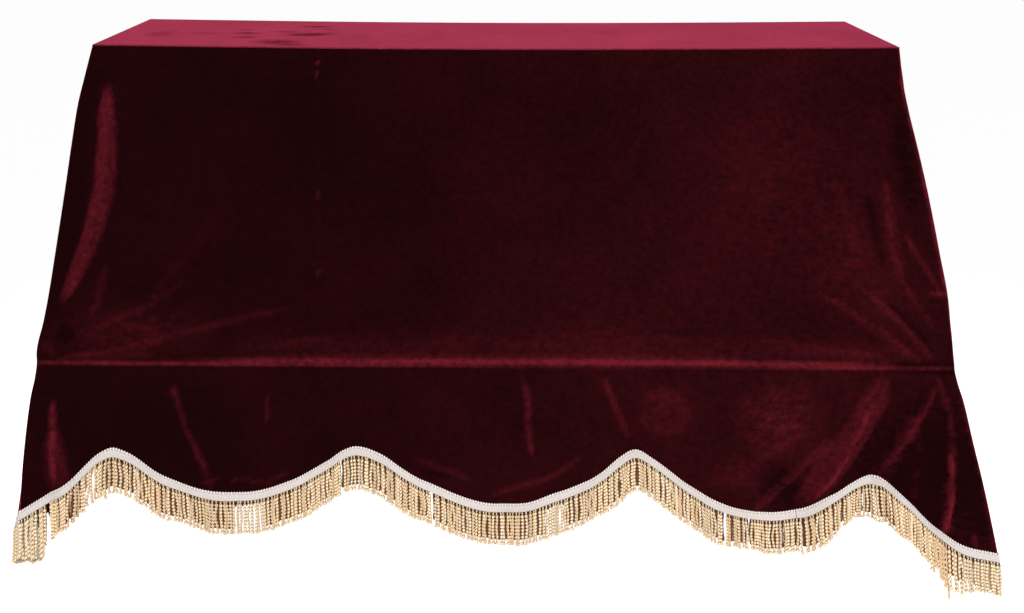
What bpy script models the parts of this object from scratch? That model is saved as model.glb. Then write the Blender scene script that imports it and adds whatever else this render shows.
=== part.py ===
"""Fitted velvet cover for an upright piano, with a scalloped hem, flat braid and cord fringe.

The cover is modelled as it hangs on the piano, which is left out, so it is hollow and open
below. +X runs along the keyboard, -Y faces the player and +Z is up. The origin is at the
middle of the underside of the top panel. All sizes are in metres.

Places on the cover are given by two numbers:
  round  runs along the hem: -2 at the left back seam, -1 at the left front seam, 0 at the
         middle of the front, 1 at the right front seam and 2 at the right back seam
  drop   is the height lost since the edge of the top panel
"""
import math

import bmesh
import bpy
from mathutils import Vector

# ---- driving sizes ---------------------------------------------------------------------
TOP_WIDTH = 1.500
TOP_DEPTH = 0.340
TOP_DIP = 0.0055            # the middle of the top lies this much below its ends
CLOTH = 0.002               # thickness of the velvet
GAP = 0.0003                # clearance between pieces that are sewn together
BRAID_HEIGHT = 0.018
BRAID_THICKNESS = 0.002
BRAID_JOIN_GAP = 0.0008     # clearance between the two lengths of braid, which meet at an angle
FRINGE_JOIN_GAP = 0.0030    # the same between the two lengths of fringe
FRINGE_GAP = 0.0010         # the fringe starts just under the hem, which leans a little
FRINGE_LENGTH = 0.072       # how far the fringe hangs, on level and on sloping hem alike
FRINGE_THICKNESS = 0.004
FRINGE_FLARE = 0.7          # how far the fringe follows the lean of the skirt above it
FRINGE_SPINE = 0.008
FRINGE_UNEVEN = 0.003       # how much the fringe's ends wander up and down
TOOTH_SHARE = 0.62          # part of each pitch of the comb that is cord
SHELF_DROP = 0.510          # the skirt starts here, just below the edge of the key shelf
SHELF_TILT = 0.0045         # the shelf edge is this much higher at the left, lower at the right
BACK_LEAN = 0.020           # the back panel stands this much further out at its hem
SEAM_CLEAR = 0.0005         # spare clearance where a side panel butts against the front

# ---- the front seams and the fall of the front panel ------------------------------------
# drop, x of the left seam, x of the right seam, y in the middle, y at the seams
FRONT_COLUMNS = ("drop", "left_x", "right_x", "middle_y", "seam_y")
FRONT_ROWS = (
    (0.000, 0.750, 0.750, -0.170, -0.170),
    (0.050, 0.760, 0.752, -0.203, -0.203),
    (0.100, 0.769, 0.759, -0.236, -0.236),
    (0.160, 0.774, 0.771, -0.276, -0.276),
    (0.230, 0.779, 0.784, -0.322, -0.322),
    (0.320, 0.786, 0.797, -0.382, -0.382),
    (0.400, 0.792, 0.806, -0.438, -0.438),
    (0.435, 0.795, 0.805, -0.466, -0.466),
    (0.458, 0.796, 0.801, -0.494, -0.494),
    (0.472, 0.794, 0.798, -0.512, -0.512),
    (0.482, 0.791, 0.797, -0.522, -0.522),
    (0.505, 0.795, 0.803, -0.527, -0.528),
    (0.545, 0.807, 0.819, -0.529, -0.536),
    (0.615, 0.823, 0.842, -0.531, -0.549),
    (0.690, 0.838, 0.868, -0.533, -0.561),
    (0.765, 0.850, 0.892, -0.534, -0.573),
    (0.840, 0.863, 0.914, -0.536, -0.585),
    (0.950, 0.880, 0.936, -0.538, -0.600),
)
CORNER_START = 0.60         # share of the half width where the skirt starts to swing forward

# ---- the back seams ---------------------------------------------------------------------
BACK_COLUMNS = ("drop", "left_x", "right_x")
BACK_ROWS = (
    (0.000, 0.750, 0.750),
    (0.300, 0.760, 0.763),
    (0.850, 0.790, 0.798),
)

# ---- the hem: the upper edge of the braid, with lobes between narrow notches -----------------
HEM_COLUMNS = ("round", "drop")
HEM_ROWS = (
    (-2.000, 0.775),
    (-1.800, 0.802),
    (-1.500, 0.722),
    (-1.170, 0.850),
    (-1.000, 0.756),
    (-0.900, 0.697),
    (-0.840, 0.649),
    (-0.820, 0.643),
    (-0.800, 0.650),
    (-0.690, 0.709),
    (-0.640, 0.723),
    (-0.545, 0.738),
    (-0.440, 0.716),
    (-0.360, 0.673),
    (-0.325, 0.649),
    (-0.300, 0.642),
    (-0.250, 0.653),
    (-0.150, 0.713),
    (0.000, 0.760),
    (0.100, 0.742),
    (0.190, 0.710),
    (0.260, 0.665),
    (0.295, 0.648),
    (0.330, 0.665),
    (0.400, 0.719),
    (0.450, 0.746),
    (0.560, 0.775),
    (0.620, 0.767),
    (0.690, 0.724),
    (0.740, 0.702),
    (0.790, 0.692),
    (0.820, 0.711),
    (0.890, 0.789),
    (0.930, 0.815),
    (1.000, 0.829),
    (1.210, 0.898),
    (1.500, 0.745),
    (1.800, 0.815),
    (2.000, 0.790),
)
BRAID_JOIN = 0.614          # the two lengths of braid and fringe meet here

# ---- soft folds --------------------------------------------------------------------------
# A fold runs from its top to its foot; out is its height, and a hollow is below zero.
# top round, top drop, foot round, foot drop, half width, out
FRONT_FOLDS = (
    (-0.930, 0.040, -0.930, 0.400, 0.050, 0.012),
    (-0.830, 0.030, -0.860, 0.400, 0.060, -0.008),
    (0.960, 0.060, 0.930, 0.420, 0.045, -0.012),
    (0.870, 0.120, 0.880, 0.440, 0.060, 0.007),
    (-0.900, 0.540, -0.890, 0.780, 0.050, 0.014),
    (-0.800, 0.540, -0.780, 0.680, 0.070, -0.009),
    (-0.690, 0.530, -0.600, 0.780, 0.070, 0.010),
    (-0.420, 0.560, -0.400, 0.760, 0.090, -0.008),
    (-0.200, 0.560, -0.220, 0.740, 0.080, 0.008),
    (0.050, 0.530, 0.070, 0.800, 0.060, 0.010),
    (0.210, 0.530, 0.290, 0.700, 0.070, -0.009),
    (0.600, 0.530, 0.440, 0.820, 0.090, 0.010),
    (0.790, 0.530, 0.650, 0.800, 0.050, 0.014),
    (0.870, 0.530, 0.740, 0.760, 0.040, -0.010),
    (0.940, 0.530, 0.800, 0.780, 0.045, 0.010),
    (0.950, 0.580, 0.890, 0.860, 0.050, -0.010),
)
# side, round, drop, half its reach in round, half its reach in drop, out
SIDE_FOLDS = (
    (-1, 1.14, 0.86, 0.20, 0.34, 0.044),
    (-1, 1.60, 0.50, 0.40, 0.40, 0.012),
    (-1, 1.80, 0.85, 0.16, 0.35, 0.020),
    (-1, 1.45, 0.22, 0.35, 0.20, 0.010),
    (1, 1.10, 0.05, 0.12, 0.10, 0.009),
    (1, 1.16, 0.88, 0.22, 0.32, 0.014),
    (1, 1.55, 0.55, 0.38, 0.40, 0.012),
    (1, 1.78, 0.85, 0.18, 0.35, 0.022),
    (1, 1.45, 0.25, 0.35, 0.22, 0.008),
)
SEAM_FADE = 0.030           # folds of the front die out this near to a seam, as a share

# ---- the steps in which the faceted cloth is laid out --------------------------------------
UPPER_DROPS = (0.0, 0.05, 0.12, 0.20, 0.28, 0.36, 0.42, 0.455, 0.475, 0.490, SHELF_DROP)
SKIRT_SHARES = (0.34, 0.68, 1.0)
FRONT_STEP = 0.045          # widest step along the hem of the front, in round
SIDE_STEP = 0.085           # the same along the sides
TOP_STEPS = (20, 3)
BACK_STEPS = (14, 5)


# ---- curves through the tables -------------------------------------------------------------
def smooth_curve(rows, columns, name):
    """A function that runs through one column of a table without overshooting its rows."""
    keys = [row[0] for row in rows]
    values = [row[columns.index(name)] for row in rows]
    count = len(keys)
    rises = [(values[i + 1] - values[i]) / (keys[i + 1] - keys[i]) for i in range(count - 1)]
    slopes = [rises[0]]
    for before, after in zip(rises, rises[1:]):
        level = before * after <= 0.0
        slopes.append(0.0 if level else 2.0 * before * after / (before + after))
    slopes.append(rises[-1])

    def value(key):
        key = min(max(key, keys[0]), keys[-1])
        i = max(j for j in range(count - 1) if keys[j] <= key)
        span = keys[i + 1] - keys[i]
        t = (key - keys[i]) / span
        start = (1.0 + 2.0 * t) * (1.0 - t) ** 2 * values[i]
        end = t * t * (3.0 - 2.0 * t) * values[i + 1]
        lean = span * t * (1.0 - t) * ((1.0 - t) * slopes[i] - t * slopes[i + 1])
        return start + end + lean

    return value


front_left_x = smooth_curve(FRONT_ROWS, FRONT_COLUMNS, "left_x")
front_right_x = smooth_curve(FRONT_ROWS, FRONT_COLUMNS, "right_x")
front_middle_y = smooth_curve(FRONT_ROWS, FRONT_COLUMNS, "middle_y")
front_seam_y = smooth_curve(FRONT_ROWS, FRONT_COLUMNS, "seam_y")
back_left_x = smooth_curve(BACK_ROWS, BACK_COLUMNS, "left_x")
back_right_x = smooth_curve(BACK_ROWS, BACK_COLUMNS, "right_x")
braid_drop = smooth_curve(HEM_ROWS, HEM_COLUMNS, "drop")


def ease(t):
    """Rise from 0 to 1, level at both ends."""
    t = min(max(t, 0.0), 1.0)
    return t * t * (3.0 - 2.0 * t)


def bump(distance):
    """A smooth hill: 1 at no distance and 0 from a distance of 1."""
    return 1.0 - ease(abs(distance))


def edge_height(x):
    """Height of the underside of the top panel, which dips in the middle."""
    return TOP_DIP * (1.0 - math.cos(math.pi * x / TOP_WIDTH))


def height_at(x, drop):
    """Height of a place on a hanging panel: the dip of the top dies out as it falls."""
    level = edge_height(TOP_WIDTH / 2)
    dip = (edge_height(min(abs(x), TOP_WIDTH / 2)) - level) * (1.0 - ease(drop / SHELF_DROP))
    return level + dip - GAP - drop


# ---- the hanging panels ---------------------------------------------------------------------
def fold_height(place, drop):
    """How far the front stands out at a place, from all of its folds."""
    total = 0.0
    for top, top_drop, foot, foot_drop, width, out in FRONT_FOLDS:
        along = (drop - top_drop) / (foot_drop - top_drop)
        centre = top + (foot - top) * along
        fade = ease(along / 0.35) * ease((1.6 - along) / 0.6)
        if top_drop < SHELF_DROP < foot_drop or foot_drop < SHELF_DROP:
            fade = bump((along - 0.5) / 0.6)
        total += out * fade * bump((place - centre) / width)
    return total * ease((1.0 - abs(place)) / SEAM_FADE)


def front_point(place, drop):
    """A place on the outer face of the front panel."""
    seam_x = front_right_x(drop) if place > 0.0 else front_left_x(drop)
    swing = ease((abs(place) - CORNER_START) / (1.0 - CORNER_START))
    y = front_middle_y(drop) + swing * (front_seam_y(drop) - front_middle_y(drop))
    x = place * seam_x
    tilt = SHELF_TILT * place * ease(drop / SHELF_DROP)
    step = 0.004
    run = front_middle_y(drop + step) - front_middle_y(max(drop - step, 0.0))
    fall = step + min(step, drop)
    outward = Vector((0.0, -fall, -run)).normalized()
    return Vector((x, y, height_at(x, drop) - tilt)) + outward * fold_height(place, drop)


def side_point(side, back, drop):
    """A place on the outer face of a side panel; back is 1 at the front seam, 2 at the back."""
    front = front_point(float(side), drop)
    rear_x = back_right_x(drop) if side > 0 else back_left_x(drop)
    lean = BACK_LEAN * drop / BACK_ROWS[-1][0]
    rear = Vector((side * rear_x, TOP_DEPTH / 2 + lean, height_at(rear_x, drop)))
    point = front.lerp(rear, back - 1.0)
    for fold_side, centre, centre_drop, half_round, half_drop, out in SIDE_FOLDS:
        if fold_side == side:
            hill = bump((back - centre) / half_round) * bump((drop - centre_drop) / half_drop)
            ends = ease((back - 1.0) / 0.06) * ease((2.0 - back) / 0.10)
            point.x += side * out * hill * ends
    return point


def back_point(place, drop):
    """A place on the outer face of the plain back panel, from -1 at its left to 1."""
    left = side_point(-1, 2.0, drop)
    right = side_point(1, 2.0, drop)
    point = left.lerp(right, (place + 1.0) / 2.0)
    point.z = height_at(point.x, drop)
    return point


def cover_point(place, drop):
    """A place on the outer face of the front or a side, anywhere round the trimmed hem."""
    if abs(place) <= 1.0:
        return front_point(place, drop)
    return side_point(1 if place > 0.0 else -1, abs(place), drop)


def hanging_drops(place):
    """The drops of one column of cloth, from the top edge to the hem, with the braid's edge."""
    braid = braid_drop(place)
    skirt = [SHELF_DROP + share * (braid - SHELF_DROP) for share in SKIRT_SHARES]
    return list(UPPER_DROPS) + skirt + [braid + BRAID_HEIGHT]


def hem_turns():
    """The places where the hem turns up or down."""
    trios = zip(HEM_ROWS, HEM_ROWS[1:], HEM_ROWS[2:])
    return [here[0] for before, here, after in trios
            if (here[1] - before[1]) * (after[1] - here[1]) < 0.0]


def places_between(low, high, widest):
    """Column places from low to high, on every turn of the hem and evenly between turns."""
    inner = [turn for turn in hem_turns() + [BRAID_JOIN] if low < turn < high]
    stops = [low] + sorted(inner) + [high]
    places = [stops[0]]
    for start, end in zip(stops, stops[1:]):
        count = math.ceil((end - start) / widest)
        places += [start + (end - start) * (i + 1) / count for i in range(count)]
    return places


# ---- making sheets ----------------------------------------------------------------------------
def clear_scene():
    for item in list(bpy.data.objects):
        bpy.data.objects.remove(item, do_unlink=True)


def material(name, colour, roughness, sheen):
    """A plain cloth finish."""
    made = bpy.data.materials.new(name)
    made.use_nodes = True
    made.diffuse_color = (*colour, 1.0)
    shader = made.node_tree.nodes["Principled BSDF"]
    shader.inputs["Base Color"].default_value = (*colour, 1.0)
    shader.inputs["Roughness"].default_value = roughness
    shader.inputs["Metallic"].default_value = 0.0
    shader.inputs["Sheen Weight"].default_value = sheen
    return made


def sheet(name, columns, thickness, offset, finish, collection, keep=None):
    """A closed sheet laid through columns of points.

    It starts as a flat grid, whose corners are moved to the points, and Solidify gives it its
    thickness. keep(column, row) says which squares stay, for a sheet with slots.
    """
    across = len(columns) - 1
    down = len(columns[0]) - 1
    mesh = bpy.data.meshes.new(name)
    work = bmesh.new()
    bmesh.ops.create_grid(work, x_segments=across, y_segments=down, size=0.5)
    work.verts.ensure_lookup_table()
    squares = {}
    for face in work.faces:
        centre = face.calc_center_median()
        column = int((centre.x + 0.5) * across)
        row = int((0.5 - centre.y) * down)
        squares[face] = (column, row)
    for corner in work.verts:
        column = round((corner.co.x + 0.5) * across)
        row = round((0.5 - corner.co.y) * down)
        corner.co = columns[column][row]
    if keep:
        spare = [face for face, place in squares.items() if not keep(*place)]
        bmesh.ops.delete(work, geom=spare, context="FACES")
    bmesh.ops.triangulate(work, faces=work.faces, quad_method="FIXED")
    work.to_mesh(mesh)
    work.free()
    mesh.shade_smooth()
    made = bpy.data.objects.new(name, mesh)
    made.data.materials.append(finish)
    collection.objects.link(made)
    solid = made.modifiers.new("thickness", "SOLIDIFY")
    solid.thickness = thickness
    solid.offset = offset
    solid.use_even_offset = True
    return made


def pull_in(column, neighbour, distances):
    """Move each point of an edge column towards the next column, to leave a seam's clearance."""
    return [point + (inner - point).normalized() * distance
            for point, inner, distance in zip(column, neighbour, distances)]


def seam_insets(front_column, side_column):
    """How far a side panel stays back from the seam, so that it clears the front's inner face."""
    reach = []
    for upper, lower in zip(front_column, front_column[1:]):
        fall = lower - upper
        outward = Vector((0.0, fall.z, -fall.y)).normalized()
        reach.append(outward)
    insets = []
    for i, (corner, inner) in enumerate(zip(front_column, side_column)):
        away = (inner - corner).normalized()
        faces = reach[max(i - 1, 0):i + 1]
        depth = min(abs(away.dot(face)) for face in faces)
        insets.append((CLOTH + GAP + SEAM_CLEAR) / depth)
    return insets


# ---- the pieces ----------------------------------------------------------------------------------
def make_top(finish, collection):
    """The flat top panel, its edges square to the hanging panels."""
    across, deep = TOP_STEPS
    columns = []
    for i in range(across + 1):
        x = TOP_WIDTH * (i / across - 0.5)
        columns.append([Vector((x, TOP_DEPTH * (0.5 - j / deep), edge_height(x)))
                        for j in range(deep + 1)])
    sheet("top_panel", columns, CLOTH, 1.0, finish, collection)


def make_front(finish, collection):
    """The front panel: down to the key shelf, over its edge, and on as a scalloped skirt."""
    columns = [[front_point(place, drop) for drop in hanging_drops(place)]
               for place in places_between(-1.0, 1.0, FRONT_STEP)]
    sheet("front_panel", columns, CLOTH, -1.0, finish, collection)


def make_side(name, side, finish, collection):
    """A side panel, butted behind the front panel and in front of the back panel."""
    low, high = sorted((side * 1.0, side * 2.0))
    places = places_between(low, high, SIDE_STEP)
    columns = [[cover_point(place, drop) for drop in hanging_drops(place)] for place in places]
    if side < 0:
        columns.reverse()
    insets = seam_insets(columns[0], columns[1])
    columns[0] = pull_in(columns[0], columns[1], insets)
    back_insets = [CLOTH + GAP + SEAM_CLEAR] * len(columns[0])
    columns[-1] = pull_in(columns[-1], columns[-2], back_insets)
    if side < 0:
        columns.reverse()
    sheet(name, columns, CLOTH, -1.0, finish, collection)


def make_back(finish, collection):
    """The plain back panel, with a straight hem between the ends of the side hems."""
    across, down = BACK_STEPS
    left_hem = braid_drop(-2.0) + BRAID_HEIGHT
    right_hem = braid_drop(2.0) + BRAID_HEIGHT
    columns = []
    for i in range(across + 1):
        place = 1.0 - 2.0 * i / across
        hem = left_hem + (right_hem - left_hem) * (place + 1.0) / 2.0
        columns.append([back_point(place, hem * j / down) for j in range(down + 1)])
    sheet("back_panel", columns, CLOTH, -1.0, finish, collection)


def trim_columns(low, high, drops_at, join_gap):
    """Columns of points along the hem, pulled in where the two lengths of trim meet."""
    places = []
    for start, end, widest in ((-2.0, -1.0, SIDE_STEP), (-1.0, 1.0, FRONT_STEP),
                               (1.0, 2.0, SIDE_STEP)):
        if low < end and high > start:
            places += places_between(max(low, start), min(high, end), widest)
    places = sorted(set(places))
    columns = [drops_at(place) for place in places]
    half_gap = [join_gap / 2] * len(columns[0])
    if high == BRAID_JOIN:
        columns[-1] = pull_in(columns[-1], columns[-2], half_gap)
    if low == BRAID_JOIN:
        columns[0] = pull_in(columns[0], columns[1], half_gap)
    return columns


def make_braid(name, low, high, finish, collection):
    """A flat braid sewn round the outside of the hem."""
    def edges(place):
        top = braid_drop(place)
        return [cover_point(place, top), cover_point(place, top + BRAID_HEIGHT)]

    columns = trim_columns(low, high, edges, BRAID_JOIN_GAP)
    clear_of_cloth = 1.0 + 2.0 * GAP / BRAID_THICKNESS
    sheet(name, columns, BRAID_THICKNESS, clear_of_cloth, finish, collection)


def fringe_fall(place):
    """How far the fringe hangs down from the hem, its ends a little uneven."""
    return FRINGE_LENGTH + FRINGE_UNEVEN * math.sin(41.0 * place) * math.cos(17.0 * place)


def make_fringe(name, low, high, finish, collection):
    """The fringe as one comb, which hangs on in the line of the skirt."""
    def strand(place):
        above = cover_point(place, braid_drop(place))
        start = cover_point(place, braid_drop(place) + BRAID_HEIGHT)
        line = (start - above) / (above.z - start.z)
        line.x *= FRINGE_FLARE
        line.y *= FRINGE_FLARE
        falls = (FRINGE_GAP, FRINGE_GAP + FRINGE_SPINE, fringe_fall(place))
        return [start + line * fall for fall in falls]

    pitches = trim_columns(low, high, strand, FRINGE_JOIN_GAP)
    columns = []
    for here, following in zip(pitches, pitches[1:]):
        between = [a.lerp(b, TOOTH_SHARE) for a, b in zip(here, following)]
        columns += [here, between]
    columns.append(pitches[-1])
    sheet(name, columns, FRINGE_THICKNESS, 1.0, finish, collection,
          keep=lambda column, row: row == 0 or column % 2 == 0)


def main():
    clear_scene()
    collection = bpy.data.collections.new("piano_cover")
    bpy.context.scene.collection.children.link(collection)
    velvet = material("velvet", (0.075, 0.008, 0.018), 0.75, 0.8)
    braid = material("braid", (0.78, 0.72, 0.68), 0.85, 0.1)
    cord = material("fringe", (0.80, 0.63, 0.42), 0.80, 0.1)
    make_top(velvet, collection)
    make_front(velvet, collection)
    make_side("side_panel_left", -1, velvet, collection)
    make_side("side_panel_right", 1, velvet, collection)
    make_back(velvet, collection)
    make_braid("braid_left", -2.0, BRAID_JOIN, braid, collection)
    make_braid("braid_right", BRAID_JOIN, 2.0, braid, collection)
    make_fringe("fringe_left", -2.0, BRAID_JOIN, cord, collection)
    make_fringe("fringe_right", BRAID_JOIN, 2.0, cord, collection)


main()
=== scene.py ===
"""Fitted crimson velvet cover for an upright piano, with woven braid and twisted cord fringe.

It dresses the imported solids: fine velvet on the same fall and folds, with the small creases,
rolled seams, braid, stitches and cords that the solids leave out. Sizes are in metres.

Places on the cover are given by two numbers:
  round  runs along the hem: -2 at the left back seam, -1 at the left front seam, 0 at the
         middle of the front, 1 at the right front seam and 2 at the right back seam
  drop   is the height lost since the edge of the top panel
"""
import bisect
import math
import random

import bmesh
import bpy
from mathutils import Matrix, Vector, noise


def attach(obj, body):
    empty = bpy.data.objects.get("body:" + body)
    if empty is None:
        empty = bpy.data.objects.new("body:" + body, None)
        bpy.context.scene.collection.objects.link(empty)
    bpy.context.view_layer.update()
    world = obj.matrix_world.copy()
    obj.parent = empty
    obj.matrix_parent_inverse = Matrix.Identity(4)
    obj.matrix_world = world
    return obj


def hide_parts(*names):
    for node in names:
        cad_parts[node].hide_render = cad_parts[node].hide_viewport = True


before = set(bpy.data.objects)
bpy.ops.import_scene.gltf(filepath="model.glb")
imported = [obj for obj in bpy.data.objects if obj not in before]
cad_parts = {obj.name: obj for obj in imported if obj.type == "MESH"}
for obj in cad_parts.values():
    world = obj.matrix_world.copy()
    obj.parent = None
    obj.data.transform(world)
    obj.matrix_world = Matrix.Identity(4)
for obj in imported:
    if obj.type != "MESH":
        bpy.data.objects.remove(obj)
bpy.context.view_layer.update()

# ---- sizes shared with the solids ----
TOP_WIDTH = 1.500
TOP_DEPTH = 0.340
TOP_DIP = 0.0055  # how far the top sags in the middle
CLOTH = 0.002  # the velvet's thickness
GAP = 0.0003  # what parts two pieces that are sewn together
BRAID_HEIGHT = 0.018
FRINGE_LENGTH = 0.072
FRINGE_FLARE = 0.7  # how much of the skirt's slant the cords keep
SHELF_DROP = 0.510  # where the skirt starts, just below the edge of the key shelf
SHELF_TILT = 0.0045  # how much lower the shelf's edge lies at the right seam
BACK_LEAN = 0.020  # how far the back's hem stands out
CORNER_START = 0.60  # where the front starts to swing forward to its corners, in round
BRAID_JOIN = 0.614  # where the two lengths of braid meet, in round
SEAM_FADE = 0.030  # over how much of round the front's folds die out at a seam

# drop, left seam x, right seam x, y in the middle, y at the seams
FRONT_ROWS = (
    (0.0, 0.75, 0.75, -0.17, -0.17),
    (0.05, 0.76, 0.752, -0.203, -0.203),
    (0.1, 0.769, 0.759, -0.236, -0.236),
    (0.16, 0.774, 0.771, -0.276, -0.276),
    (0.23, 0.779, 0.784, -0.322, -0.322),
    (0.32, 0.786, 0.797, -0.382, -0.382),
    (0.4, 0.792, 0.806, -0.438, -0.438),
    (0.435, 0.795, 0.805, -0.466, -0.466),
    (0.458, 0.796, 0.801, -0.494, -0.494),
    (0.472, 0.794, 0.798, -0.512, -0.512),
    (0.482, 0.791, 0.797, -0.522, -0.522),
    (0.505, 0.795, 0.803, -0.527, -0.528),
    (0.545, 0.807, 0.819, -0.529, -0.536),
    (0.615, 0.823, 0.842, -0.531, -0.549),
    (0.69, 0.838, 0.868, -0.533, -0.561),
    (0.765, 0.85, 0.892, -0.534, -0.573),
    (0.84, 0.863, 0.914, -0.536, -0.585),
    (0.95, 0.88, 0.936, -0.538, -0.6),
)
# drop, left seam x, right seam x
BACK_ROWS = (
    (0.0, 0.75, 0.75),
    (0.3, 0.76, 0.763),
    (0.85, 0.79, 0.798),
)
# round, drop of the braid's upper edge
HEM_ROWS = (
    (-2.0, 0.775), (-1.8, 0.802), (-1.5, 0.722), (-1.17, 0.85), (-1.0, 0.756),
    (-0.9, 0.697), (-0.84, 0.649), (-0.82, 0.643), (-0.8, 0.65), (-0.69, 0.709),
    (-0.64, 0.723), (-0.545, 0.738), (-0.44, 0.716), (-0.36, 0.673), (-0.325, 0.649),
    (-0.3, 0.642), (-0.25, 0.653), (-0.15, 0.713), (0.0, 0.76), (0.1, 0.742),
    (0.19, 0.71), (0.26, 0.665), (0.295, 0.648), (0.33, 0.665), (0.4, 0.719),
    (0.45, 0.746), (0.56, 0.775), (0.62, 0.767), (0.69, 0.724), (0.74, 0.702),
    (0.79, 0.692), (0.82, 0.711), (0.89, 0.789), (0.93, 0.815), (1.0, 0.829),
    (1.21, 0.898), (1.5, 0.745), (1.8, 0.815), (2.0, 0.79),
)
# top round, top drop, foot round, foot drop, half width, out
FRONT_FOLDS = (
    (-0.93, 0.04, -0.93, 0.4, 0.05, 0.012),
    (-0.83, 0.03, -0.86, 0.4, 0.06, -0.008),
    (0.96, 0.06, 0.93, 0.42, 0.045, -0.012),
    (0.87, 0.12, 0.88, 0.44, 0.06, 0.007),
    (-0.9, 0.54, -0.89, 0.78, 0.05, 0.014),
    (-0.8, 0.54, -0.78, 0.68, 0.07, -0.009),
    (-0.69, 0.53, -0.6, 0.78, 0.07, 0.01),
    (-0.42, 0.56, -0.4, 0.76, 0.09, -0.008),
    (-0.2, 0.56, -0.22, 0.74, 0.08, 0.008),
    (0.05, 0.53, 0.07, 0.8, 0.06, 0.01),
    (0.21, 0.53, 0.29, 0.7, 0.07, -0.009),
    (0.6, 0.53, 0.44, 0.82, 0.09, 0.01),
    (0.79, 0.53, 0.65, 0.8, 0.05, 0.014),
    (0.87, 0.53, 0.74, 0.76, 0.04, -0.01),
    (0.94, 0.53, 0.8, 0.78, 0.045, 0.01),
    (0.95, 0.58, 0.89, 0.86, 0.05, -0.01),
)
# side, round, drop, half its reach in round, half its reach in drop, out
SIDE_FOLDS = (
    (-1, 1.14, 0.86, 0.2, 0.34, 0.044),
    (-1, 1.6, 0.5, 0.4, 0.4, 0.012),
    (-1, 1.8, 0.85, 0.16, 0.35, 0.02),
    (-1, 1.45, 0.22, 0.35, 0.2, 0.01),
    (1, 1.1, 0.05, 0.12, 0.1, 0.009),
    (1, 1.16, 0.88, 0.22, 0.32, 0.014),
    (1, 1.55, 0.55, 0.38, 0.4, 0.012),
    (1, 1.78, 0.85, 0.18, 0.35, 0.022),
    (1, 1.45, 0.25, 0.35, 0.22, 0.008),
)

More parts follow.
